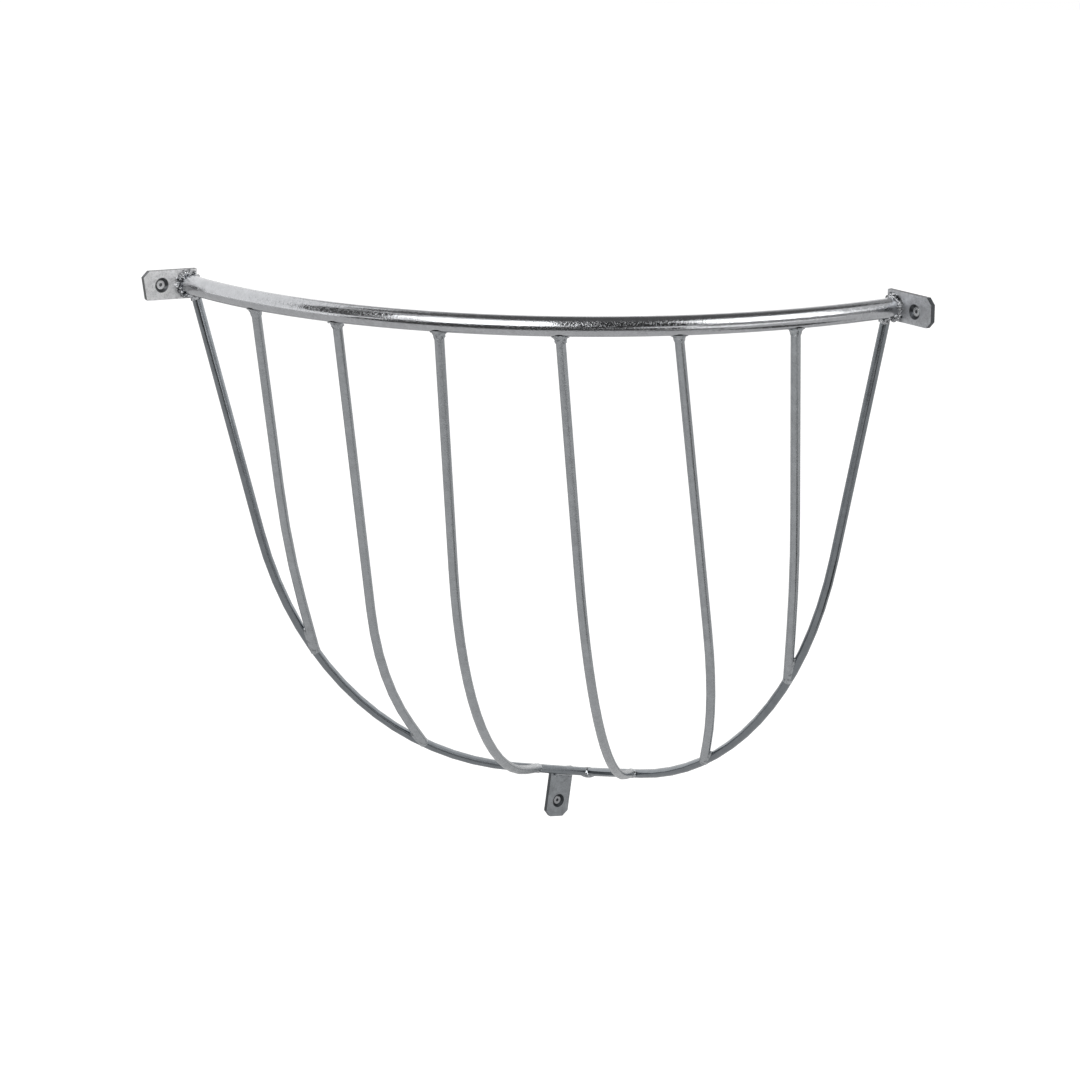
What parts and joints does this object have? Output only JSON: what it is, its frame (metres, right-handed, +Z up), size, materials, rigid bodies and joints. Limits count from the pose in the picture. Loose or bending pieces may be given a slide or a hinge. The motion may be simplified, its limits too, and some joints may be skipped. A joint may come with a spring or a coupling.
{
  "type": "corner hay rack",
  "caption": "Welded steel rod basket that hangs across the corner of two walls and holds hay for animals to pull through its bars.",
  "frame": {"origin": "point in the wall corner where the centre lines of the two wall rods meet, at the corner weld", "axes": "+X right along the rack's width, +Y back into the corner of the walls, +Z up"},
  "size_m": [0.7955, 0.5191, 0.6878],
  "materials": {
    "zinc_tube": "bright zinc coating with a fine spangle, semi-gloss",
    "zinc_rod": "grey zinc coating, satin",
    "zinc_flat_bar": "mottled zinc coating, satin",
    "zinc_weld": "zinc coated weld bead, lumpy, semi-gloss",
    "zinc_screw": "zinc plated, smooth"
  },
  "bodies": {
    "root": {"top_rail": "zinc_tube", "left_wall_rod": "zinc_rod", "right_wall_rod": "zinc_rod", "left_inner_bar": "zinc_rod", "left_middle_bar": "zinc_rod", "left_outer_bar": "zinc_rod", "right_inner_bar": "zinc_rod", "right_middle_bar": "zinc_rod", "right_outer_bar": "zinc_rod", "left_inner_top_weld": "zinc_weld", "left_middle_top_weld": "zinc_weld", "left_outer_top_weld": "zinc_weld", "right_inner_top_weld": "zinc_weld", "right_middle_top_weld": "zinc_weld", "right_outer_top_weld": "zinc_weld", "left_inner_foot_weld": "zinc_weld", "left_middle_foot_weld": "zinc_weld", "left_outer_foot_weld": "zinc_weld", "right_inner_foot_weld": "zinc_weld", "right_middle_foot_weld": "zinc_weld", "right_outer_foot_weld": "zinc_weld", "left_wall_rod_weld": "zinc_weld", "right_wall_rod_weld": "zinc_weld", "left_end_weld": "zinc_weld", "right_end_weld": "zinc_weld", "corner_weld": "zinc_weld", "bottom_tab_weld": "zinc_weld", "left_tab": "zinc_flat_bar", "right_tab": "zinc_flat_bar", "bottom_tab": "zinc_flat_bar", "left_screw": "zinc_screw", "right_screw": "zinc_screw", "bottom_screw": "zinc_screw"}
  },
  "joints": []
}
